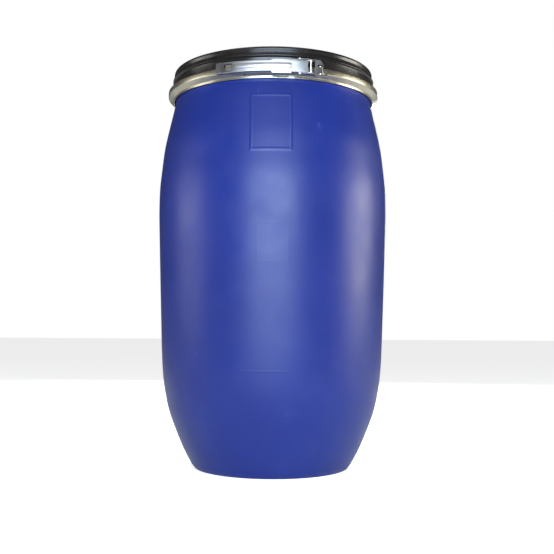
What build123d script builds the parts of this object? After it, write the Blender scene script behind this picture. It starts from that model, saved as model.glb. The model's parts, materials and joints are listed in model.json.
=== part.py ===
from build123d import *
from math import asin, cos, degrees, radians, sin
import os

os.makedirs("parts", exist_ok=True)

# A barrel-shaped plastic open-head drum with a plug lid and a split clamp ring that a lever closes.
# Millimetres, +Z up, origin on the drum's axis at the floor, the lever closure faces -Y.

# Drum body
WALL = 4.5                  # side wall
FOOT_R = 195.0              # base corner
FOOT_FILLET = 7.0
FOOT_RING_R = 168.0         # inner edge of the flat ring that the drum stands on
BASE_RISE = 9.0             # the base is dished up by this much inside its foot ring
# Outside outline (radius, height) from just above the foot to the neck under the ring
BARREL = [(203.0, 12.0), (231.0, 69.0), (259.5, 145.0), (276.0, 246.0), (280.6, 372.0),
          (286.0, 648.0), (273.4, 799.0), (254.0, 884.0)]
NECK_R = 246.8
NECK_Z = 912.0
MOUTH_R = 238.5             # clear bore of the mouth
BEAD_R = 257.5              # rolled mouth bead, which the ring grips from below
BEAD_TOP = 934.0
BEAD_LOW = 930.0            # lower edge of the bead's outside
BEAD_ROOT = 923.9           # where the bead's underside meets the neck

# Lid
LID_TOP = 992.0
LID_SHELL = 4.0
LID_FLANGE_R = 261.5        # the flange that sits over the bead
LID_FLANGE_TOP = 941.2
LID_FLANGE = 3.2            # flange thickness
LID_SKIRT_LOW = 933.2
LID_SIDE_R = 250.0
LID_RIB_R = 254.0           # thin rib round the side
LID_RIB_Z = 970.0
LID_RECESS_R = 204.0        # the foot of another drum stands in this recess
LID_FLOOR = 970.0
PLUG_R = 236.5              # the wall that reaches down into the mouth
PLUG_LOW = 914.0
GUSSETS = 16
FLOOR_RIBS = 8              # low ribs on the recess floor, inside the ring that a stacked foot stands on
RIB_START = 70.0
RIB_END = 160.0

# Clamp ring, rolled from one strip
RING_R = 265.0
RING_TOP = 944.0
RING_LOW = 918.6
RING_LIP_R = 252.0          # outside of the lip under the bead
RING_INNER_R = 252.4        # inner edge of the top flange
RING_SLOPE_TOP = 931.0
RING_SLOPE_LOW = 923.5
STEEL = 1.2
SPLIT_LEFT = -2.0           # the left end is set in from here on, as a tongue
SPLIT_RIGHT = 79.0          # the right end starts here, over the tongue
TONGUE_END = 112.0
TONGUE_SET = 1.3            # how far the tongue is set in

# Lever closure. Places across the front are distances from the middle, along the arc's chord.
CLOSURE_R = 272.0           # radius at which those distances are taken
PIVOT_X = 84.0              # lever pivot, on the hinge bracket
PIVOT_R = 273.5
LINK_X = 59.0               # link pivot, on the lever
LINK_R = 272.0
ANCHOR_X = 106.0            # anchor pivot, at the ring's right end
ANCHOR_R = 273.0
EYE_R = 6.5                 # rounded ends of the pivoted plates
PIN_R = 2.5
RUNNING = 0.08              # radial clearance of a pin that turns
PLATE = 1.5

LEVER_END = -127.0
LEVER_SHOULDER = -4.0
LEVER_WEB_END = 76.0
LEVER_R = 279.0             # outside of the lever's face
LEVER_INNER_R = 267.0       # inner edge of its flanges
HANDLE_LOW = 926.0
HANDLE_TOP = 951.0
ROOT_LOW = 921.0
ROOT_PIVOT_LOW = 925.0      # the root narrows to this height at its pivots
ROOT_TOP = 954.5
GAP = 0.3                   # between plates that slide on each other
NECK_X = 40.0               # where the root narrows to its pivots
CREST_LEFT = -84.0          # pressed-up crest along the lever's middle
CREST_RIGHT = 36.0
CREST_HALF = 4.5
CREST_RISE = 2.0
END_BAR_LEFT = -122.0       # raised bar at the handle's end
END_BAR_RIGHT = -112.0
END_BAR_RISE = 2.5
WINDOW_LEFT = -109.0        # the catch shows through this window
WINDOW_RIGHT = -91.0
WINDOW_HALF = 8.0

# Hinge bracket, on the ring's left end
BRACKET_R = RING_R - TONGUE_SET + 0.05
BRACKET_START = 14.0
BRACKET_RISE_X = 44.0       # from here the bracket is full height and carries its ears
BRACKET_END = SPLIT_RIGHT - 3
BRACKET_RIVETS = (22.0, 34.0)
RIVET_Z = 937.0
EAR_LOW = ROOT_PIVOT_LOW + PLATE + GAP
EAR_TOP = ROOT_TOP - PLATE - GAP

# Anchor, on the ring's right end
ANCHOR_BASE_R = RING_R + 0.05
ANCHOR_START = 98.5
ANCHOR_BASE_END = 112.5     # beyond this the anchor is a narrow tail with a round end
ANCHOR_TAB_X = 122.0
ANCHOR_TAB_R = 5.0
ANCHOR_TAIL_LOW = 928.0
ANCHOR_TAIL_TOP = 938.0
ANCHOR_EAR_LOW = 925.0
ANCHOR_EAR_TOP = 943.3
ANCHOR_RIVET_X = 120.0
ANCHOR_RIVET_Z = 933.0

# Link, between lever and anchor
LINK_TOP = ROOT_TOP + GAP
LINK_LOW = ROOT_PIVOT_LOW - GAP - PLATE
BAR_LOW = 916.0
BAR_START = 91.5
BAR_END = 97.0
LINK_EAR_END = 110.0        # the flat ear beside the bar, with its upper corner cut away
LINK_EAR_LOW = 945.0
STRAP_LOW = 927.0
STRAP_TOP = 941.0

# Catch on the ring, under the lever's window
CATCH_RIVET_X = -76.0
CATCH_PLATE = 1.2

BAND_HOLES = [(x, RIVET_Z) for x in (*BRACKET_RIVETS, CATCH_RIVET_X)]
BAND_HOLES += [(ANCHOR_RIVET_X, ANCHOR_RIVET_Z)]


# ---------------------------------------------------------------- helpers

def bearing(x):
    """Angle from the front's middle, in degrees, of a place x across the front."""
    return degrees(asin(x / CLOSURE_R))


def spot(x, r, z=0.0):
    """The point at x across the front, at radius r and height z."""
    angle = radians(bearing(x))
    return Vector(r * sin(angle), -r * cos(angle), z)


def section(points):
    """A face in the plane of radius and height."""
    return make_face(Polyline([(r, 0, z) for r, z in points], close=True))


def turned(points):
    """A full ring with this section."""
    return revolve(section(points), Axis.Z, 360)


def bent(face, x0, x1):
    """A section carried round the front from x0 to x1."""
    turn = bearing(x1) - bearing(x0)
    return Rot(0, 0, bearing(x0) - 90) * revolve(face, Axis.Z, turn)


def slab(r0, r1, z0, z1, x0, x1):
    """A curved block: a rectangle of radius and height, carried round the front."""
    return bent(section([(r0, z0), (r1, z0), (r1, z1), (r0, z1)]), x0, x1)


def post(x, r, radius, z0, z1):
    """An upright round pin or hole."""
    return Pos(spot(x, r, (z0 + z1) / 2)) * Cylinder(radius, z1 - z0)


def radial_pin(x, z, radius, r0, r1):
    """A round pin that lies along the drum's radius."""
    pin = Rot(0, 90, 0) * Cylinder(radius, r1 - r0)
    return Rot(0, 0, bearing(x) - 90) * Pos((r0 + r1) / 2, 0, z) * pin


def save(node, solid):
    solid.label = node
    export_step(solid, f"parts/{node}.step")


# ---------------------------------------------------------------- drum body and lid

def barrel_edge(inset):
    """The barrel's outline, set in by a wall thickness."""
    points = [Vector(r - inset, 0, z) for r, z in BARREL]
    return Spline(points, tangents=[Vector(0.5, 0, 1), Vector(-0.28, 0, 1)])


def drum_body():
    outer = barrel_edge(0)
    inner = barrel_edge(WALL)
    top_out, top_in = outer @ 1, inner @ 1
    foot_out, foot_in = outer @ 0, inner @ 0
    floor_z = BASE_RISE + WALL + 1
    rim = Polyline([
        tuple(top_out), (NECK_R + 0.8, 0, NECK_Z), (NECK_R, 0, BEAD_ROOT), (BEAD_R, 0, BEAD_LOW),
        (BEAD_R, 0, BEAD_TOP), (MOUTH_R, 0, BEAD_TOP), (MOUTH_R, 0, NECK_Z), tuple(top_in)])
    foot = Polyline([
        tuple(foot_in), (FOOT_R - 2 * WALL, 0, WALL + 2), (FOOT_RING_R, 0, WALL + 2),
        (FOOT_RING_R - 8, 0, floor_z), (0, 0, floor_z), (0, 0, BASE_RISE),
        (FOOT_RING_R - 10, 0, BASE_RISE), (FOOT_RING_R, 0, 0), (FOOT_R, 0, 0), tuple(foot_out)])
    body = revolve(make_face([outer, rim, inner, foot]), Axis.Z, 360)
    lip = body.edges().filter_by(GeomType.CIRCLE).group_by(Axis.Z)[-1]
    body = fillet(lip, 2.5)
    corner = body.edges().filter_by(GeomType.CIRCLE).group_by(Axis.Z)[0].sort_by(SortBy.RADIUS)[-1]
    return fillet(corner, FOOT_FILLET / 2)


def lid():
    flange_low = LID_FLANGE_TOP - LID_FLANGE
    side_in = LID_SIDE_R - LID_SHELL
    top_in = LID_TOP - LID_SHELL
    wall_in = LID_RECESS_R + LID_SHELL
    shell = turned([
        (0, LID_FLOOR), (LID_RECESS_R - 3, LID_FLOOR), (LID_RECESS_R, LID_FLOOR + 3),
        (LID_RECESS_R + 1.5, LID_TOP - 1.5), (LID_RECESS_R + 4, LID_TOP),
        (LID_SIDE_R - 5, LID_TOP), (LID_SIDE_R - 1.2, LID_TOP - 1.6),
        (LID_SIDE_R + 0.5, LID_TOP - 5.5), (LID_SIDE_R - 1, LID_TOP - 13),
        (LID_SIDE_R - 1, LID_RIB_Z + 3.5), (LID_RIB_R, LID_RIB_Z + 1.2), (LID_RIB_R, LID_RIB_Z - 1.2),
        (LID_SIDE_R + 0.5, LID_RIB_Z - 4), (LID_SIDE_R, LID_FLANGE_TOP + 2),
        (LID_SIDE_R + 2, LID_FLANGE_TOP), (LID_FLANGE_R - 1.2, LID_FLANGE_TOP),
        (LID_FLANGE_R, LID_FLANGE_TOP - 1.2), (LID_FLANGE_R, LID_SKIRT_LOW),
        (LID_FLANGE_R - LID_FLANGE, LID_SKIRT_LOW), (LID_FLANGE_R - LID_FLANGE, flange_low),
        (PLUG_R, flange_low), (PLUG_R, PLUG_LOW + 4), (PLUG_R - 1.5, PLUG_LOW),
        (PLUG_R - LID_SHELL, PLUG_LOW), (PLUG_R - LID_SHELL, LID_FLANGE_TOP),
        (side_in, LID_FLANGE_TOP + 2), (side_in, top_in), (wall_in, top_in),
        (wall_in - 1.5, LID_FLOOR - LID_SHELL), (0, LID_FLOOR - LID_SHELL)])
    gusset_low = LID_FLANGE_TOP + 4
    gusset = section([
        (wall_in - 1, LID_FLOOR - LID_SHELL), (wall_in - 1, top_in + 1),
        (side_in + 1, top_in + 1), (side_in + 1, gusset_low)])
    gusset = extrude(gusset, 1.5, both=True)
    rib = Pos((RIB_START + RIB_END) / 2, 0, LID_FLOOR) * Box(RIB_END - RIB_START, 5, 3)
    parts = [Rot(0, 0, 360 * (i + 0.5) / GUSSETS) * gusset for i in range(GUSSETS)]
    parts += [Rot(0, 0, 360 * (i + 0.5) / FLOOR_RIBS) * rib for i in range(FLOOR_RIBS)]
    boss = turned([(52, LID_FLOOR - 1), (58, LID_FLOOR - 1), (58, LID_FLOOR + 1.5), (52, LID_FLOOR + 1.5)])
    return shell.fuse(*parts, boss).clean()


def lid_gasket():
    low, top = BEAD_TOP + 0.1, LID_FLANGE_TOP - LID_FLANGE - 0.1
    return turned([(242.0, low), (256.5, low), (256.5, top), (242.0, top)])


# ---------------------------------------------------------------- clamp ring

def ring_face(inset):
    """The rolled section: top flange, upright web, slope under the bead and a lip."""
    top = RING_TOP - inset
    web = RING_R - inset
    lip = RING_LIP_R - inset
    outer = [(RING_INNER_R, top), (web, top), (web, RING_SLOPE_TOP + inset * 0.3),
             (lip, RING_SLOPE_LOW + inset * 0.8), (lip, RING_LOW)]
    in_web, in_lip = web - STEEL, lip - STEEL
    inner = [(in_lip, RING_LOW), (in_lip, RING_SLOPE_LOW + inset * 0.8 + STEEL * 0.6),
             (in_web, RING_SLOPE_TOP + inset * 0.3 + STEEL * 0.6), (in_web, top - STEEL),
             (RING_INNER_R, top - STEEL)]
    return section(outer + inner)


def clamp_band():
    turn = 360 + bearing(SPLIT_LEFT) - bearing(SPLIT_RIGHT)
    hoop = Rot(0, 0, bearing(SPLIT_RIGHT) - 90) * revolve(ring_face(0), Axis.Z, turn)
    tongue = bent(ring_face(TONGUE_SET), SPLIT_LEFT, TONGUE_END)
    # the set-in step that carries the tongue
    step = slab(RING_R - 2.0, RING_R - 0.6, RING_SLOPE_TOP + 2, RING_TOP - 3, SPLIT_LEFT - 4, SPLIT_LEFT + 4)
    band = hoop.fuse(step).fuse(tongue)
    for x, z in BAND_HOLES:
        band = band - radial_pin(x, z, PIN_R, RING_R - 4, RING_R + 4)
    return band


# ---------------------------------------------------------------- hinge bracket, left end of the ring

def hinge_bracket():
    outer_r = BRACKET_R + PLATE
    tail = slab(BRACKET_R, outer_r, RING_SLOPE_TOP + 1, RING_TOP - 3, BRACKET_START, BRACKET_RISE_X + 1)
    web = slab(BRACKET_R, outer_r, EAR_LOW, EAR_TOP, BRACKET_RISE_X, BRACKET_END)
    bracket = tail.fuse(web)
    for low in (EAR_LOW, EAR_TOP - PLATE):
        ear = slab(PIVOT_R - EYE_R, LEVER_R - PLATE - GAP, low, low + PLATE, BRACKET_RISE_X, PIVOT_X)
        root = slab(BRACKET_R, PIVOT_R, low, low + PLATE, BRACKET_RISE_X, BRACKET_END)
        bracket = bracket.fuse(ear, root, post(PIVOT_X, PIVOT_R, EYE_R, low, low + PLATE))
    bracket = bracket - post(PIVOT_X, PIVOT_R, PIN_R, EAR_LOW - 5, EAR_TOP + 5)
    for x in BRACKET_RIVETS:
        bracket = bracket - radial_pin(x, RIVET_Z, PIN_R, RING_R - 6, RING_R + 6)
    return bracket


def flat_rivet(x, z, outer_r, inner_r):
    """A rivet through plates, flush inside and with a low head outside."""
    shank = radial_pin(x, z, PIN_R - 0.04, inner_r, outer_r + 0.5)
    head = radial_pin(x, z, PIN_R * 1.8, outer_r + 0.05, outer_r + 1.2)
    return shank.fuse(head)


def bracket_rivets():
    inner_r = BRACKET_R - STEEL
    return Compound([flat_rivet(x, RIVET_Z, BRACKET_R + PLATE, inner_r) for x in BRACKET_RIVETS])


# ---------------------------------------------------------------- anchor, right end of the ring

def anchor_bracket():
    outer_r = ANCHOR_BASE_R + PLATE
    base = slab(ANCHOR_BASE_R, outer_r, ANCHOR_EAR_LOW, ANCHOR_EAR_TOP, ANCHOR_START, ANCHOR_BASE_END)
    tail = slab(ANCHOR_BASE_R, outer_r, ANCHOR_TAIL_LOW, ANCHOR_TAIL_TOP, ANCHOR_BASE_END - 0.5, ANCHOR_TAB_X)
    tab = radial_pin(ANCHOR_TAB_X, ANCHOR_RIVET_Z, ANCHOR_TAB_R, ANCHOR_BASE_R + 0.25, outer_r + 0.25)
    bracket = base.fuse(tail, tab)
    for low in (ANCHOR_EAR_LOW, ANCHOR_EAR_TOP - PLATE):
        ear = slab(ANCHOR_BASE_R, ANCHOR_R, low, low + PLATE, ANCHOR_START + 1, ANCHOR_BASE_END)
        bracket = bracket.fuse(ear, post(ANCHOR_X, ANCHOR_R, EYE_R - 0.3, low, low + PLATE))
    return bracket - radial_pin(ANCHOR_RIVET_X, ANCHOR_RIVET_Z, PIN_R, RING_R - 6, RING_R + 6)


def anchor_rivet():
    outer_r = ANCHOR_BASE_R + PLATE + 0.3
    return flat_rivet(ANCHOR_RIVET_X, ANCHOR_RIVET_Z, outer_r, ANCHOR_BASE_R - STEEL)


def anchor_pin():
    """Fixed in the link's eye. It stops short of the anchor's ears, which is the linkage's open pivot."""
    return post(ANCHOR_X, ANCHOR_R, PIN_R, STRAP_LOW + 0.05, STRAP_TOP - 0.05)


# ---------------------------------------------------------------- lever

def lever():
    web_in = LEVER_R - PLATE
    handle = slab(web_in, LEVER_R, HANDLE_LOW, HANDLE_TOP, LEVER_END, LEVER_SHOULDER + 1)
    root = slab(web_in, LEVER_R, ROOT_LOW, ROOT_TOP, LEVER_SHOULDER, NECK_X)
    neck = slab(web_in, LEVER_R, ROOT_PIVOT_LOW, ROOT_TOP, NECK_X - 1, LEVER_WEB_END)
    body = handle.fuse(root, neck)
    for low in (HANDLE_LOW, HANDLE_TOP - PLATE):
        flange = slab(LEVER_INNER_R, web_in + 0.5, low, low + PLATE, LEVER_END, LEVER_SHOULDER + 1)
        body = body.fuse(flange)
    for low in (ROOT_LOW, ROOT_TOP - PLATE):
        body = body.fuse(slab(LEVER_INNER_R, web_in + 0.5, low, low + PLATE, LEVER_SHOULDER, NECK_X))
    # the step between handle and root is closed top and bottom
    for low, top in ((ROOT_LOW, HANDLE_LOW + PLATE), (HANDLE_TOP - PLATE, ROOT_TOP)):
        body = body.fuse(slab(LEVER_INNER_R, LEVER_R, low, top, LEVER_SHOULDER, LEVER_SHOULDER + PLATE))
    body = body.fuse(slab(LEVER_INNER_R, LEVER_R, ROOT_LOW, ROOT_PIVOT_LOW + PLATE, NECK_X - PLATE, NECK_X))
    for low in (ROOT_PIVOT_LOW, ROOT_TOP - PLATE):
        flange = slab(PIVOT_R - EYE_R, web_in + 0.5, low, low + PLATE, NECK_X - 1, PIVOT_X)
        body = body.fuse(flange, post(PIVOT_X, PIVOT_R, EYE_R, low, low + PLATE))
    # pressed-up crest along the middle, and the end of the handle
    mid = (HANDLE_LOW + HANDLE_TOP) / 2
    rise_in, crest_r = web_in + 0.2, LEVER_R + CREST_RISE
    crest = slab(rise_in, crest_r, mid - CREST_HALF, mid + CREST_HALF, CREST_LEFT, CREST_RIGHT)
    body = body.fuse(crest)
    body = body.fuse(radial_pin(CREST_LEFT, mid, CREST_HALF, rise_in, crest_r))
    bar_r = LEVER_R + END_BAR_RISE
    body = body.fuse(slab(rise_in, bar_r, HANDLE_LOW, HANDLE_TOP, END_BAR_LEFT, END_BAR_RIGHT))
    body = body.fuse(slab(LEVER_INNER_R + 3, LEVER_R, HANDLE_LOW, HANDLE_TOP, LEVER_END, LEVER_END + PLATE))
    low, top = mid - WINDOW_HALF, mid + WINDOW_HALF
    window = slab(web_in - 1, LEVER_R + 4, low, top, WINDOW_LEFT, WINDOW_RIGHT)
    body = body - window
    body = body - post(PIVOT_X, PIVOT_R, PIN_R + RUNNING, ROOT_LOW - 5, ROOT_TOP + 5)
    return body - post(LINK_X, LINK_R, PIN_R, ROOT_LOW - 5, ROOT_TOP + 5)


def lever_pivot_pin():
    """Flush with the lever's flanges, so that the link's plates pass over its ends."""
    return post(PIVOT_X, PIVOT_R, PIN_R - 0.02, ROOT_PIVOT_LOW, ROOT_TOP)


# ---------------------------------------------------------------- link

def link():
    """A yoke: a plate above and one below the lever's root, a bar that joins them, and an eye."""
    face_in = LEVER_R - PLATE
    body = slab(face_in, face_in + 2, BAR_LOW, LINK_TOP + PLATE, BAR_START, BAR_END)
    for low in (LINK_LOW, LINK_TOP):
        plate = slab(LINK_R - EYE_R, face_in + 2, low, low + PLATE, LINK_X, BAR_END)
        body = body.fuse(plate, post(LINK_X, LINK_R, EYE_R, low, low + PLATE))
    ear = slab(face_in, face_in + 2, LINK_EAR_LOW, LINK_TOP + PLATE, BAR_END - 1, LINK_EAR_END)
    corner = Rot(0, 0, bearing(LINK_EAR_END)) * Rot(0, 45, 0) * Box(11, 12, 11)
    corner = Pos(spot(LINK_EAR_END, face_in, LINK_TOP + PLATE)) * corner
    strap = slab(face_in, face_in + 2, STRAP_LOW, STRAP_TOP, BAR_END - 1, ANCHOR_X)
    eye = post(ANCHOR_X, ANCHOR_R, EYE_R - 0.5, STRAP_LOW, STRAP_TOP)
    body = body.fuse(ear - corner, strap, eye)
    body = body - post(ANCHOR_X, ANCHOR_R, PIN_R + 0.02, STRAP_LOW - 1, STRAP_TOP + 1)
    return body - post(LINK_X, LINK_R, PIN_R + RUNNING, BAR_LOW, LINK_TOP + 5)


def link_rivet(upper):
    """Fixed in the lever's flange, the link turns on it, with its head outside the link's plate."""
    if upper:
        shank = post(LINK_X, LINK_R, PIN_R - 0.02, ROOT_TOP - PLATE, LINK_TOP + PLATE + 0.5)
        head = post(LINK_X, LINK_R, PIN_R * 2, LINK_TOP + PLATE + 0.1, LINK_TOP + PLATE + 1.5)
    else:
        shank = post(LINK_X, LINK_R, PIN_R - 0.02, LINK_LOW - 0.5, ROOT_PIVOT_LOW + PLATE)
        head = post(LINK_X, LINK_R, PIN_R * 2, LINK_LOW - 1.5, LINK_LOW - 0.1)
    return shank.fuse(head)


# ---------------------------------------------------------------- catch under the lever's window

def lever_catch():
    base = slab(ANCHOR_BASE_R, ANCHOR_BASE_R + CATCH_PLATE, 931.5, 943.0, -107, -70)
    hump_r = LEVER_R - PLATE - 1.0
    hump = slab(ANCHOR_BASE_R, hump_r, 932.0, 945.0, -106.5, -93.5)
    hollow = slab(ANCHOR_BASE_R - 1, hump_r - CATCH_PLATE, 931.0, 946.0, -105.3, -94.7)
    plate = base.fuse(hump - hollow)
    return plate - radial_pin(CATCH_RIVET_X, RIVET_Z, PIN_R, RING_R - 4, RING_R + 4)


def catch_rivet():
    return flat_rivet(CATCH_RIVET_X, RIVET_Z, ANCHOR_BASE_R + CATCH_PLATE, ANCHOR_BASE_R - STEEL)


save("drum_body", drum_body())
save("lid", lid())
save("lid_gasket", lid_gasket())
save("clamp_band", clamp_band())
save("hinge_bracket", hinge_bracket())
save("bracket_rivets", bracket_rivets())
save("anchor_bracket", anchor_bracket())
save("anchor_rivet", anchor_rivet())
save("anchor_pin", anchor_pin())
save("lever", lever())
save("lever_pivot_pin", lever_pivot_pin())
save("link", link())
save("link_rivet_upper", link_rivet(True))
save("link_rivet_lower", link_rivet(False))
save("lever_catch", lever_catch())
save("catch_rivet", catch_rivet())
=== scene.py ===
import json
import math

import bmesh
import bpy
import numpy as np
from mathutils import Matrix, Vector


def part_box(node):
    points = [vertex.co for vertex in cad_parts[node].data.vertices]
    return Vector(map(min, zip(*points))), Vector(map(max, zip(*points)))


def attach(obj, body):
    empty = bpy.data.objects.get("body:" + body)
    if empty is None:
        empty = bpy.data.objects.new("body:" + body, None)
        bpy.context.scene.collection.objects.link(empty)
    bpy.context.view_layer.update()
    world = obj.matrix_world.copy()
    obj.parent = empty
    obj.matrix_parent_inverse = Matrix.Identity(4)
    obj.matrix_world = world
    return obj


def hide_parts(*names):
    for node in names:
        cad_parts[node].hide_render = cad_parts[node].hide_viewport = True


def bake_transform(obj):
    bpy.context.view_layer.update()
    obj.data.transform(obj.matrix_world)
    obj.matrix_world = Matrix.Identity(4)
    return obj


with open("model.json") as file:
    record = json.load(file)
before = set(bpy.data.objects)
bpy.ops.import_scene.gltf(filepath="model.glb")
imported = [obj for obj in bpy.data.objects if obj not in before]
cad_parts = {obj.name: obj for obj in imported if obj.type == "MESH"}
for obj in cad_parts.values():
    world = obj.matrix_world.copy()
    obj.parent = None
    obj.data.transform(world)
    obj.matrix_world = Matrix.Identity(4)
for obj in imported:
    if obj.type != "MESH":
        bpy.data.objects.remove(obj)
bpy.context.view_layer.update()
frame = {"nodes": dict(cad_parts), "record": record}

MM = 0.001


# ------------------------------------------------------------------ places, from the frame

DRUM_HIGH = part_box("drum_body")[1]
LID_LOW, LID_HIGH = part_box("lid")
BAND_LOW, BAND_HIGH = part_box("clamp_band")
LEVER_LOW, LEVER_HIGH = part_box("lever")
BEAD_TOP = DRUM_HIGH[2]
LID_TOP = LID_HIGH[2]
LID_LOW_Z = LID_LOW[2]
RING_R = BAND_HIGH[0]
RING_TOP = BAND_HIGH[2]
RING_LOW = BAND_LOW[2]


# ------------------------------------------------------------------ mesh helpers

def rounded(points, radius, steps=5, closed=False):
    """The outline with each corner turned into a small arc. A point is (r, z) or (r, z, its own radius)."""
    out = []
    count = len(points)
    for i, point in enumerate(points):
        here = np.array(point[:2], float)
        size = point[2] if len(point) > 2 else radius
        if (not closed and i in (0, count - 1)) or size == 0:
            out.append(here)
            continue
        before = np.array(points[i - 1][:2], float) - here
        after = np.array(points[(i + 1) % count][:2], float) - here
        room = 0.45 * min(np.linalg.norm(before), np.linalg.norm(after))
        before, after = before / np.linalg.norm(before), after / np.linalg.norm(after)
        half = math.acos(np.clip(before @ after, -1, 1)) / 2
        if half > math.radians(88):
            out.append(here)
            continue
        reach = min(size / math.tan(half), room)
        start, end = here + before * reach, here + after * reach
        for k in range(steps + 1):
            t = k / steps
            out.append((1 - t) ** 2 * start + 2 * t * (1 - t) * here + t * t * end)
    return np.array(out)


def smooth_curve(points, count):
    """A smooth line through a few points, by cubic pieces along its length."""
    p = np.array(points, float)
    s = np.r_[0, np.cumsum(np.hypot(*np.diff(p, axis=0).T))]
    slope = np.gradient(p, s, axis=0)
    at = np.linspace(0, s[-1], count)
    k = np.clip(np.searchsorted(s, at, side="right") - 1, 0, len(s) - 2)
    h = (s[k + 1] - s[k])[:, None]
    t = (at - s[k])[:, None] / h
    return ((2 * t**3 - 3 * t**2 + 1) * p[k] + (t**3 - 2 * t**2 + t) * h * slope[k]
            + (3 * t**2 - 2 * t**3) * p[k + 1] + (t**3 - t**2) * h * slope[k + 1])


def new_piece(name, mesh, body, material, replaces=()):
    piece = bpy.data.objects.new(name, mesh)
    bpy.context.scene.collection.objects.link(piece)
    piece.data.materials.append(material)
    if body is not None:
        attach(piece, body)
    if replaces:
        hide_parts(*replaces)
    return piece


def lathe(name, outline, angles, closed_outline=True, full=True, relief=None):
    """A mesh turned about the drum's axis. angles are bearings from the front's middle, in radians.
    relief(bearing, r, z) gives how far the surface stands proud there."""
    outline = np.asarray(outline)
    rr = np.repeat(outline[:, 0][:, None], len(angles), 1)
    zz = np.repeat(outline[:, 1][:, None], len(angles), 1)
    aa = np.repeat(np.asarray(angles)[None, :], len(outline), 0)
    if relief is not None:
        rr = rr + relief(aa, rr, zz)
    verts = np.stack([rr * np.sin(aa), -rr * np.cos(aa), zz], -1).reshape(-1, 3)
    n, m = rr.shape
    rows = range(n if closed_outline else n - 1)
    cols = range(m if full else m - 1)
    faces = [(i * m + j, i * m + (j + 1) % m, ((i + 1) % n) * m + (j + 1) % m, ((i + 1) % n) * m + j)
             for i in rows for j in cols]
    if not full and closed_outline:
        faces.append(tuple(i * m for i in range(n)))
        faces.append(tuple(i * m + m - 1 for i in reversed(range(n))))
    mesh = bpy.data.meshes.new(name)
    mesh.from_pydata(verts.tolist(), [], faces)
    tidy_mesh(mesh)
    return mesh


def tidy_mesh(mesh, sharp=math.radians(35)):
    """Welds doubles, turns the faces outward and shades smooth except at sharp edges."""
    bm = bmesh.new()
    bm.from_mesh(mesh)
    bmesh.ops.remove_doubles(bm, verts=bm.verts, dist=2e-6)
    bmesh.ops.recalc_face_normals(bm, faces=bm.faces)
    for face in bm.faces:
        face.smooth = True
    for edge in bm.edges:
        edge.smooth = len(edge.link_faces) != 2 or edge.calc_face_angle(0) < sharp
    bm.to_mesh(mesh)
    bm.free()


# ------------------------------------------------------------------ materials

class Look:
    """A procedural material under construction."""

    def __init__(self, name, **sockets):
        self.mat = bpy.data.materials.new(name)
        self.mat.use_nodes = True
        self.tree = self.mat.node_tree
        self.bsdf = self.tree.nodes["Principled BSDF"]
        for socket, value in sockets.items():
            self.bsdf.inputs[socket.replace("_", " ")].default_value = value
        self.place = self.tree.nodes.new("ShaderNodeTexCoord").outputs["Object"]

    def node(self, kind, **settings):
        made = self.tree.nodes.new("ShaderNode" + kind)
        for key, value in settings.items():
            setattr(made, key, value)
        return made

    def link(self, a, b):
        self.tree.links.new(a, b)

    def stretched(self, scale):
        mapping = self.node("Mapping")
        mapping.inputs["Scale"].default_value = scale
        self.link(self.place, mapping.inputs["Vector"])
        return mapping.outputs["Vector"]

    def noise(self, scale, detail=3.0, rough=0.5, stretch=None):
        made = self.node("TexNoise")
        made.inputs["Scale"].default_value = scale
        made.inputs["Detail"].default_value = detail
        made.inputs["Roughness"].default_value = rough
        self.link(self.stretched(stretch) if stretch else self.place, made.inputs["Vector"])
        return made.outputs["Fac"]

    def ramp(self, source, stops):
        made = self.node("ValToRGB")
        ramp = made.color_ramp
        while len(ramp.elements) < len(stops):
            ramp.elements.new(0.5)
        for element, (place, colour) in zip(ramp.elements, stops):
            element.position = place
            element.color = colour if len(colour) == 4 else (*colour, 1)
        self.link(source, made.inputs["Fac"])
        return made.outputs["Color"]

    def grey(self, source, low, high, a=0.3, b=0.7):
        return self.ramp(source, [(a, (low,) * 3), (b, (high,) * 3)])

    def mix(self, factor, a, b, mode="MIX"):
        made = self.node("Mix", data_type="RGBA", blend_type=mode)
        for value, socket in ((factor, 0), (a, 6), (b, 7)):
            if hasattr(value, "links"):
                self.link(value, made.inputs[socket])
            else:
                made.inputs[socket].default_value = value
        return made.outputs[2]

    def bump(self, height, strength, distance, under=None):
        made = self.node("Bump")
        made.inputs["Strength"].default_value = strength
        made.inputs["Distance"].default_value = distance
        self.link(height, made.inputs["Height"])
        if under is not None:
            self.link(under, made.inputs["Normal"])
        return made.outputs["Normal"]

    def set(self, socket, source):
        self.link(source, self.bsdf.inputs[socket])


def blue_plastic():
    look = Look("blue_hdpe", IOR=1.5, Specular_IOR_Level=0.36)
    broad = look.noise(3.0, 2.0)
    colour = look.ramp(broad, [(0.3, (0.004, 0.013, 0.120)), (0.7, (0.006, 0.018, 0.152))])
    dust = look.grey(look.noise(9.0, 6.0, 0.65), 0.0, 0.07, 0.55, 0.8)
    colour = look.mix(dust, colour, (0.10, 0.13, 0.33, 1))
    scratch = look.ramp(look.noise(26.0, 5.0, 0.7, (1, 1, 0.16)), [(0.66, (0, 0, 0)), (0.72, (0.25,) * 3)])
    colour = look.mix(scratch, colour, (0.10, 0.12, 0.38, 1))
    look.set("Base Color", colour)
    look.set("Roughness", look.grey(look.noise(14.0, 5.0, 0.6), 0.36, 0.46))
    waves = look.bump(look.noise(7.0, 1.0), 0.25, 0.002)
    peel = look.bump(look.noise(420.0, 2.0), 0.10, 0.0003, waves)
    look.set("Normal", peel)
    return look.mat


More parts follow.
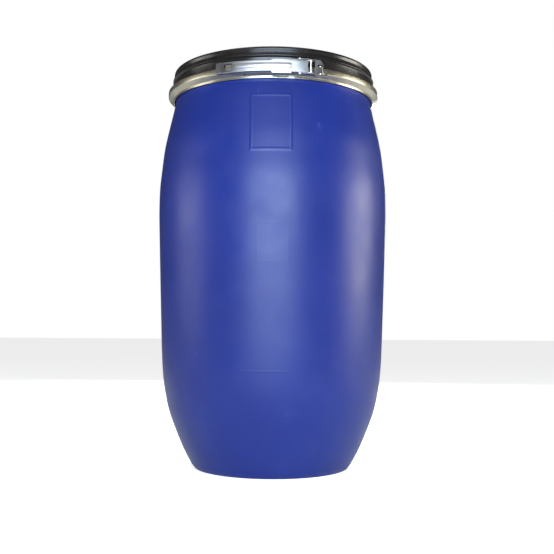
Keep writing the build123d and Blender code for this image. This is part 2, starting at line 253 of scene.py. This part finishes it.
def black_plastic():
    look = Look("black_hdpe", IOR=1.5, Specular_IOR_Level=0.36)
    patches = look.noise(6.0, 5.0, 0.6)
    colour = look.ramp(patches, [(0.3, (0.0060, 0.0050, 0.0046)), (0.75, (0.014, 0.0115, 0.010))])
    look.set("Base Color", colour)
    look.set("Roughness", look.grey(look.noise(30.0, 6.0, 0.65), 0.18, 0.32))
    waves = look.bump(look.noise(18.0, 1.0), 0.2, 0.0012)
    look.set("Normal", look.bump(look.noise(650.0, 2.0), 0.12, 0.0002, waves))
    return look.mat


def rubber():
    look = Look("gasket_rubber", IOR=1.45)
    colour = look.ramp(look.noise(60.0, 4.0), [(0.3, (0.020, 0.020, 0.021)), (0.7, (0.042, 0.041, 0.040))])
    look.set("Base Color", colour)
    look.set("Roughness", look.grey(look.noise(200.0, 3.0), 0.65, 0.85))
    look.set("Normal", look.bump(look.noise(900.0, 2.0), 0.4, 0.0003))
    return look.mat


def zinc(name, warm, low_rough, high_rough, spangle):
    """Galvanised or plated steel: faint spangle, rolling marks and duller patches."""
    look = Look(name, Metallic=1.0)
    light = tuple(warm)
    dull = tuple(c * 0.86 for c in warm)
    colour = look.ramp(look.noise(22.0, 5.0, 0.6), [(0.32, dull), (0.68, light)])
    cells = look.node("TexVoronoi")
    cells.inputs["Scale"].default_value = spangle
    look.link(look.place, cells.inputs["Vector"])
    colour = look.mix(look.grey(cells.outputs["Distance"], 0.0, 0.22, 0.1, 0.9), colour, (*dull, 1))
    look.set("Base Color", colour)
    look.set("Roughness", look.grey(look.noise(48.0, 6.0, 0.7), low_rough, high_rough))
    rolled = look.bump(look.noise(90.0, 3.0, 0.5, (1, 1, 9)), 0.05, 0.0001)
    look.set("Normal", look.bump(look.noise(9.0, 1.0), 0.10, 0.0006, rolled))
    return look.mat


BLUE = blue_plastic()
BLACK = black_plastic()
RUBBER = rubber()
BAND_ZINC = zinc("zinc_band", (0.48, 0.45, 0.35), 0.26, 0.36, 260.0)
LEVER_ZINC = zinc("zinc_lever", (0.36, 0.35, 0.34), 0.30, 0.40, 420.0)
SMALL_ZINC = zinc("zinc_small", (0.66, 0.60, 0.46), 0.25, 0.38, 500.0)
SLOT_LOOKS = {"blue_hdpe": BLUE, "black_hdpe": BLACK, "gasket_rubber": RUBBER, "zinc_band": BAND_ZINC,
              "zinc_lever": LEVER_ZINC, "zinc_small": SMALL_ZINC}


def dress_cad_nodes():
    """Every carried-over CAD node gets the look of its slot."""
    slots = {s["node"]: s["material_slot"] for s in frame["record"]["subparts"]}
    for node, obj in frame["nodes"].items():
        look = SLOT_LOOKS[slots[node]]
        if not obj.data.materials:
            obj.data.materials.append(look)
        for i in range(len(obj.data.materials)):
            obj.data.materials[i] = look


# ------------------------------------------------------------------ drum body

WALL = 4.5 * MM
# Outline of the barrel, millimetres (radius, height), between the foot and the neck
BARREL = [(203.0, 12.0), (219.0, 42.0), (240.5, 92.0), (259.5, 145.0), (270.5, 196.0), (276.0, 246.0),
          (278.6, 300.0), (280.6, 372.0), (283.2, 472.0), (285.6, 575.0), (286.7, 648.0), (284.8, 705.0),
          (280.0, 749.0), (273.4, 799.0), (262.3, 850.0), (254.0, 884.0)]
FRAMES = [  # moulded panels on the front: left, right, low, high edge (mm), how proud, how wide the edge line
    (-49.0, 41.0, 752.0, 880.0, 0.9, 2.6),
    (-35.0, 36.0, 500.0, 587.0, 0.12, 2.4),
]
MOULD_LINES = [(255.0, -73.0, 39.0, 0.3)]   # height, left, right, how proud


def step(x, width):
    return 1 / (1 + np.exp(-np.clip(x / width, -30, 30)))


def relief(bearing, r, z):
    """Raised panel frames on the front and the mould's parting lines at the sides, in metres."""
    x = np.sin(bearing) * r / MM
    h = z / MM
    front = (np.cos(bearing) > 0) & (r > 0.24)
    proud = np.zeros_like(r)
    for left, right, low, high, tall, wide in FRAMES:
        # distance inside the rectangle, negative outside it
        inside = np.minimum(np.minimum(x - left, right - x), np.minimum(h - low, high - h))
        line = np.exp(-(inside / wide) ** 2 * 1.4)
        panel = step(inside, 0.8)
        proud = proud + front * (line * tall + panel * tall * 0.25)
    for height, left, right, tall in MOULD_LINES:
        across = step(x - left, 1.5) * step(right - x, 1.5)
        proud = proud + front * across * tall * np.exp(-((h - height) / 1.8) ** 2)
    seam = np.exp(-(np.cos(bearing) * r / (1.2 * MM)) ** 2)
    proud = proud + 0.25 * seam * (h < 912)
    return proud * MM * (r > 0.19)


def spaced(stretches):
    """Values along several stretches, (start, end, spacing) each, without the last end."""
    runs = [(a, b, max(2, round(abs(b - a) / d))) for a, b, d in stretches]
    return np.concatenate([np.linspace(a, b, count, endpoint=False) for a, b, count in runs])


def body_bearings():
    """Close columns where the moulded frames are, wider ones elsewhere."""
    edge = math.asin(60 / 280)
    fine, seam, coarse = math.radians(0.24), math.radians(0.12), math.radians(1.2)
    right, left = math.pi / 2, 3 * math.pi / 2
    near = math.radians(1.0)
    return spaced([
        (-edge, edge, fine), (edge, right - near, coarse), (right - near, right + near, seam),
        (right + near, left - near, coarse), (left - near, left + near, seam),
        (left + near, 2 * math.pi - edge, coarse)])


def make_drum():
    wall = smooth_curve(BARREL, 520) * MM
    bead = BEAD_TOP / MM
    foot = rounded([(0, 9), (158, 9, 10), (168, 0.0, 2), (193.5, 0.0, 5), (203, 12, 0)], 3) * MM
    rim = rounded([
        (254.0, 884.0), (247.6, 912.0, 6), (246.8, 923.9, 3), (257.5, 930.0, 2.5), (257.5, bead, 4),
        (238.5, bead, 4), (238.5, 912.0, 8), (249.5, 884.0)], 3, 6) * MM
    inside = wall[::-1] - np.array([WALL, 0])
    base = rounded([(198.5, 12), (186, 6.5, 6), (168, 6.5, 3), (160, 14.5, 4), (0, 14.5)], 3) * MM
    outline = np.concatenate([foot[:-1], wall, rim[1:-1], inside, base[1:]])
    mesh = lathe("drum_shell", outline, body_bearings(), closed_outline=False, relief=relief)
    new_piece("drum_shell", mesh, "drum", BLUE, ("drum_body",))


# ------------------------------------------------------------------ lid

EVEN = np.linspace(0, 2 * math.pi, 288, endpoint=False)


def make_lid():
    top, low = LID_TOP / MM, LID_LOW_Z / MM
    outline = rounded([
        (0, 970), (52, 970, 1), (53, 971.5, 0.8), (57, 971.5, 0.8), (58, 970, 1), (164, 970, 1),
        (165.5, 971.2, 1), (167, 970, 1), (204, 970, 6), (205.5, top - 1, 3), (208, top, 2), (244, top, 2),
        (249, top - 1.6, 4), (250.5, top - 6.0, 2), (248.8, top - 12, 3), (248.8, 973.8, 2),
        (254, 971.4, 1.2), (254, 968.6, 1.2),
        (250.4, 966, 2), (250, 944.5, 3), (252, 941.2, 1), (261.5, 941.2, 1.5),
        (261.5, 933.2, 0.6), (258.3, 933.2, 0.6), (258.3, 938, 1), (236.5, 938, 1.5), (236.5, 918, 3),
        (235, low, 0.8), (232.5, low, 0.8), (232.5, 941.2, 1.5), (246, 943.2, 1.5), (246, top - 4, 3),
        (208, top - 4, 3), (206.5, 966, 2), (0, 966)], 1.2, 4) * MM
    mesh = lathe("lid_shell", outline, EVEN, closed_outline=False)
    new_piece("lid_shell", mesh, "lid", BLACK, ("lid",))


def make_lid_ribs():
    """Low ribs on the recess floor and gussets under the rim, each a bevelled bar."""
    bm = bmesh.new()
    bars = [(0.5 / 8, 8, 70, 160, 968.5, 971.5, 5.0), (0.5 / 16, 16, 206, 247, 945.5, 989, 3.0)]
    for offset, count, r0, r1, z0, z1, wide in bars:
        for i in range(count):
            made = bmesh.ops.create_cube(bm, size=1)["verts"]
            turn = 2 * math.pi * (offset + i / count)
            across, along = math.sin(turn), math.cos(turn)
            for v in made:
                x = ((r0 + r1) / 2 + v.co.x * (r1 - r0)) * MM
                y = v.co.y * wide * MM
                height = ((z0 + z1) / 2 + v.co.z * (z1 - z0)) * MM
                if r0 > 200 and v.co.x < 0 and v.co.z < 0:
                    height = 966 * MM
                v.co = (x * along - y * across, x * across + y * along, height)
    bmesh.ops.bevel(bm, geom=list(bm.edges), offset=0.8 * MM, segments=2, affect="EDGES")
    mesh = bpy.data.meshes.new("lid_ribs")
    bm.to_mesh(mesh)
    bm.free()
    tidy_mesh(mesh)
    new_piece("lid_ribs", mesh, "lid", BLACK)


# ------------------------------------------------------------------ clamp ring

SPLIT_LEFT, SPLIT_RIGHT, TONGUE_END = -2.0, 79.0, 112.0
CLOSURE_R = 272.0
STEEL = 1.2


def bearing(x):
    return math.asin(x / CLOSURE_R)


def ring_outline(inset):
    top, low = RING_TOP / MM - inset, RING_LOW / MM
    web = RING_R / MM - inset
    lip = 252.0 - inset
    outer = [(252.4, top, 0.4), (web, top, 3.0), (web, 931 + 0.3 * inset, 3.0),
             (lip, 923.5 + 0.8 * inset, 1.6), (lip, low, 0.4)]
    inner = [(lip - STEEL, low, 0.4), (lip - STEEL, 924.2 + 0.8 * inset, 1.0),
             (web - STEEL, 931.7 + 0.3 * inset, 2.0), (web - STEEL, top - STEEL, 1.8),
             (252.4, top - STEEL, 0.4)]
    return rounded(outer + inner, 1.0, 5, closed=True) * MM


def make_ring():
    hoop = np.linspace(bearing(SPLIT_RIGHT), 2 * math.pi + bearing(SPLIT_LEFT), 300)
    mesh = lathe("clamp_hoop", ring_outline(0), hoop, full=False)
    piece = new_piece("clamp_hoop", mesh, None, BAND_ZINC, ("clamp_band",))
    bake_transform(piece)
    inner = np.linspace(bearing(SPLIT_LEFT), bearing(TONGUE_END), 40)
    mesh = lathe("clamp_tongue", ring_outline(1.3), inner, full=False)
    new_piece("clamp_tongue", mesh, "ring", BAND_ZINC)


# ------------------------------------------------------------------ lever

SHEET = 1.45                # a hair under the plate's 1.5, so that no two faces share a plane
FACE_R = 279.0
FLANGE_R = 267.0
PIVOT = (84.0, 273.5)       # place across the front, radius
EYE_R = 6.5
PIN_HOLE = 2.58
HANDLE = (926.0, 951.0)
MID = 938.5
NECK_LOW = 925.0
CREST = (-84.0, 36.0, 4.5, 2.0)     # left and right end, half width, how proud
WINDOW = (-109.0, -91.0, 8.0)       # left, right, half height
END_BAR_RISE = 2.5
CORNER = 1.7                # bend where the face turns into a flange
EYE_SIDES = 56


def ease(x, a, b):
    """Runs from 0 at a to 1 at b."""
    t = min(max((x - a) / (b - a), 0), 1)
    return t * t * (3 - 2 * t)


def lever_section(x):
    """Outside and inside outline of the pressed sheet at one place across the front, (r, z) in mm."""
    root_low, root_top = LEVER_LOW[2] / MM, LEVER_HIGH[2] / MM
    wide = ease(x, -5.0, -3.2)
    low = HANDLE[0] + (root_low - HANDLE[0]) * wide + (NECK_LOW - root_low) * ease(x, 38.5, 40.5)
    top = HANDLE[1] + (root_top - HANDLE[1]) * wide
    face = FACE_R + END_BAR_RISE * ease(x, -122.6, -121.2) * (1 - ease(x, -112.8, -111.4))
    left, right, half, proud = CREST
    past = max(left - x, x - right, 0)
    room = math.sqrt(max(half * half - past * past, 0)) / half
    crest = proud * min(1, 1.4 * room)
    width = max(half * room, 0.3)
    arc = np.radians([0, 22, 45, 68, 90])
    corner = [(CORNER - CORNER * math.cos(a), CORNER - CORNER * math.sin(a)) for a in arc]

    def outline(inset):
        line = [(FLANGE_R, low + inset)]
        line += [(face - inset - dr * 0.98, low + inset + dz) for dz, dr in corner]
        bump = [(-WINDOW[2], 0), (-width - 1.2, 0), (-width - 0.3, 0.18), (-width + 0.35, 0.82),
                (-width * 0.62, 1.0), (0, 1.02)]
        bump += [(-z, h) for z, h in reversed(bump[:-1])]
        line += [(face - inset + crest * h, MID + z) for z, h in bump]
        line += [(face - inset - dr * 0.98, top - inset - dz) for dz, dr in reversed(corner)]
        return line + [(FLANGE_R, top - inset)]
    return outline(0), outline(SHEET)


def lever_stations():
    """Places along the lever, close together where its section changes."""
    return [-127, -126.6, -123, -122.6, -122, -121.2, -118, -115, -112.8, -112, -111.4, WINDOW[0],
            -105, -100, -95, WINDOW[1], -89.5, -88.6, -88.2, -87.4, -86.2, -84, -70, -50, -30, -12,
            -5, -4.4, -3.8, -3.2, 5, 18, 30, 36, 38.2, 38.5, 39.2, 39.8, 40.5, 42, 48, 56, 64, 72, 76]


def place(x, r, z):
    """The point x across the front, at radius r and height z, from millimetres to metres."""
    turn = bearing(x)
    return (r * math.sin(turn) * MM, -r * math.cos(turn) * MM, z * MM)


def sheet_faces(rows, n, i0, i1, j0, j1):
    """Faces of a bent sheet: n points across it outside, then n inside, in each row. It has a window
    from row i0 to i1 and from point j0 to j1."""
    def at(i, j, inner=False):
        return i * 2 * n + (n if inner else 0) + j

    def rim(i, j, k, m):
        return (at(i, j), at(k, m), at(k, m, True), at(i, j, True))

    faces = []
    for i in range(rows - 1):
        for j in range(n - 1):
            if i0 <= i < i1 and j0 <= j < j1:
                continue
            for inner in (False, True):
                corners = [(i, j), (i, j + 1), (i + 1, j + 1), (i + 1, j)]
                faces.append(tuple(at(*corner, inner) for corner in corners))
        faces += [rim(i, j, i + 1, j) for j in (0, n - 1)]
        if i0 <= i < i1:
            faces += [rim(i, j, i + 1, j) for j in (j0, j1)]
    for i in (0, rows - 1):
        faces += [rim(i, j, i, j + 1) for j in range(n - 1)]
    for i in (i0, i1):
        faces += [rim(i, j, i, j + 1) for j in range(j0, j1)]
    return faces


def add_eyes(verts, faces):
    """The flanges run on past the face as round eyes on the pivot pin."""
    turns = [2 * math.pi * k / EYE_SIDES for k in range(EYE_SIDES)]
    for low in (NECK_LOW, LEVER_HIGH[2] / MM - SHEET):
        base = len(verts)
        for z in (low, low + SHEET):
            for reach in ([eye_reach(a) for a in turns], [PIN_HOLE] * EYE_SIDES):
                verts += [place(PIVOT[0] + d * math.cos(a), PIVOT[1] + d * math.sin(a), z)
                          for a, d in zip(turns, reach)]
        for k in range(EYE_SIDES):
            after = (k + 1) % EYE_SIDES
            for a, b in ((0, 1), (2, 3), (0, 2), (1, 3)):
                first, second = base + a * EYE_SIDES, base + b * EYE_SIDES
                faces.append((first + k, first + after, second + after, second + k))


def make_lever():
    xs = lever_stations()
    rows = [lever_section(x) for x in xs]
    verts = [place(x, r, z) for x, (out, inn) in zip(xs, rows) for r, z in out + inn]
    i0, i1 = xs.index(WINDOW[0]), xs.index(WINDOW[1])
    heights = [z for r, z in rows[i0][0]]
    n = len(heights)
    j0 = min(range(n), key=lambda j: abs(heights[j] - (MID - WINDOW[2])))
    j1 = min(range(n), key=lambda j: abs(heights[j] - (MID + WINDOW[2])))
    faces = sheet_faces(len(xs), n, i0, i1, j0, j1)
    add_eyes(verts, faces)
    mesh = bpy.data.meshes.new("lever_shell")
    mesh.from_pydata(verts, [], faces)
    tidy_mesh(mesh, math.radians(30))
    new_piece("lever_shell", mesh, "lever", LEVER_ZINC, ("lever",))


def eye_reach(angle):
    """How far an eye's outline is from the pin: a disc, run out to the flange it grows from."""
    dx, dr = math.cos(angle), math.sin(angle)
    if dx >= -1e-6:
        return EYE_R
    reach = 8.4 / -dx
    if dr > 0:
        reach = min(reach, (FACE_R - 1.2 - PIVOT[1]) / dr)
    if dr < 0:
        reach = min(reach, (PIVOT[1] - FLANGE_R) / -dr)
    return max(EYE_R, reach)


# ------------------------------------------------------------------ stage

def floor_look():
    look = Look("floor", Roughness=0.8, Emission_Color=(0.55, 0.55, 0.55, 1))
    look.set("Emission Strength", look.node("LightPath").outputs["Is Camera Ray"])
    colour = look.ramp(look.noise(0.7, 2.0), [(0.3, (0.89, 0.89, 0.88)), (0.7, (0.90, 0.90, 0.89))])
    look.set("Base Color", colour)
    return look.mat


def make_floor():
    bpy.ops.mesh.primitive_plane_add(size=60, location=(0, 0, 0))
    floor = bpy.context.object
    floor.name = "floor"
    floor.data.materials.append(floor_look())


def area_light(name, place, aim, size, power, colour=(1, 1, 1)):
    data = bpy.data.lights.new(name, "AREA")
    data.shape = "RECTANGLE"
    data.size, data.size_y = size
    data.energy = power
    data.color = colour
    light = bpy.data.objects.new(name, data)
    bpy.context.scene.collection.objects.link(light)
    light.location = place
    light.rotation_euler = (Vector(aim) - Vector(place)).to_track_quat("-Z", "Y").to_euler()
    return light


def make_light():
    world = bpy.data.worlds.new("studio")
    bpy.context.scene.world = world
    world.use_nodes = True
    bpy.context.scene.view_settings.view_transform = "Standard"
    tree = world.node_tree
    back = tree.nodes["Background"]
    back.inputs["Color"].default_value = (1, 1, 1, 1)
    back.inputs["Strength"].default_value = 0.09
    seen = tree.nodes.new("ShaderNodeBackground")
    seen.inputs["Color"].default_value = (1, 1, 1, 1)
    seen.inputs["Strength"].default_value = 1.0
    path = tree.nodes.new("ShaderNodeLightPath")
    pick = tree.nodes.new("ShaderNodeMixShader")
    tree.links.new(path.outputs["Is Camera Ray"], pick.inputs[0])
    tree.links.new(back.outputs[0], pick.inputs[1])
    tree.links.new(seen.outputs[0], pick.inputs[2])
    tree.links.new(pick.outputs[0], tree.nodes["World Output"].inputs["Surface"])
    area_light("front", (0.0, -3.3, 1.15), (0, 0, 0.6), (2.5, 1.3), 190, (0.66, 0.80, 1.0))
    area_light("right", (3.0, 0.05, 1.0), (0, 0, 0.65), (1.5, 1.0), 62, (1.0, 0.95, 0.84))
    area_light("left", (-3.0, -0.35, 1.0), (0, 0, 0.65), (1.5, 1.0), 26, (1.0, 0.96, 0.88))
    area_light("back", (0.3, 3.3, 1.3), (0, 0, 0.55), (1.8, 1.2), 80, (0.85, 0.92, 1.0))
    sun = bpy.data.lights.new("sky", "SUN")
    sun.energy = 0.9
    sun.angle = math.radians(70)
    above = bpy.data.objects.new("sky", sun)
    above.rotation_euler = (math.radians(28), math.radians(-6), 0)
    bpy.context.scene.collection.objects.link(above)


def make_camera():
    data = bpy.data.cameras.new("camera")
    data.sensor_width = 36.0
    data.lens = 55.2
    data.shift_x = 0.0094
    data.shift_y = 0.0957
    camera = bpy.data.objects.new("camera", data)
    bpy.context.scene.collection.objects.link(camera)
    camera.location = (0, -2.172, 0.348)
    camera.rotation_euler = (math.pi / 2, -0.006, 0)
    bpy.context.scene.camera = camera


dress_cad_nodes()
make_drum()
make_lid()
make_lid_ribs()
make_ring()
make_lever()
make_floor()
make_light()
make_camera()
